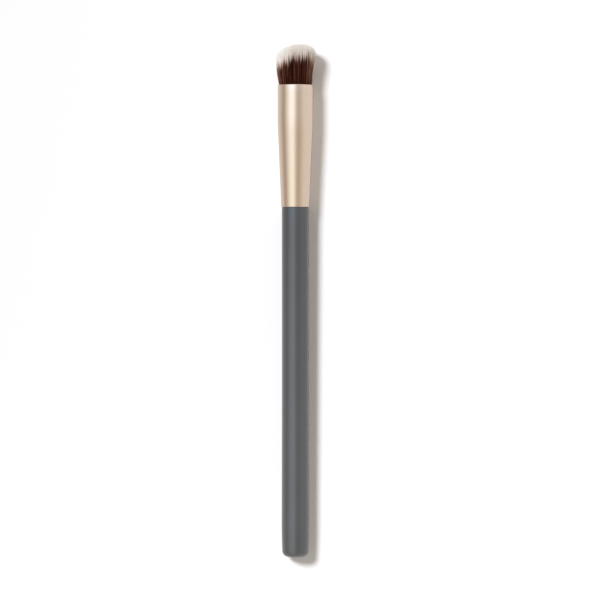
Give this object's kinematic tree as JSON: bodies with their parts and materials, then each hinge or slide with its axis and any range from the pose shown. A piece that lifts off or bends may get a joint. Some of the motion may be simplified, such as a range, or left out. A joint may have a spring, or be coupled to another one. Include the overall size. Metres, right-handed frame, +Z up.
{
  "type": "concealer brush",
  "caption": "Slim make-up brush lying on its side: round lacquered handle, tapered metal ferrule and a short slanted dome of soft bristles with pale tips.",
  "frame": {"origin": "on the surface that the brush lies on, under the middle of its length and its axis", "axes": "+Y along the brush from the butt of the handle to the bristle tips, +Z up from the surface, +X to the side where the tuft is taller"},
  "size_m": [0.0116, 0.154, 0.011],
  "materials": {
    "slate_lacquer": "satin slate-grey lacquer over turned wood",
    "champagne_aluminium": "satin champagne anodised",
    "bristle": "fine dark brown filaments with off-white tips",
    "thread": "plain twisted thread",
    "resin": "set amber resin",
    "glue": "set pale glue"
  },
  "bodies": {
    "root": {"handle": "slate_lacquer", "ferrule": "champagne_aluminium", "bristle_tuft": "bristle", "root_tie": "thread", "glue_plug": "resin", "tenon_glue": "glue"}
  },
  "joints": []
}
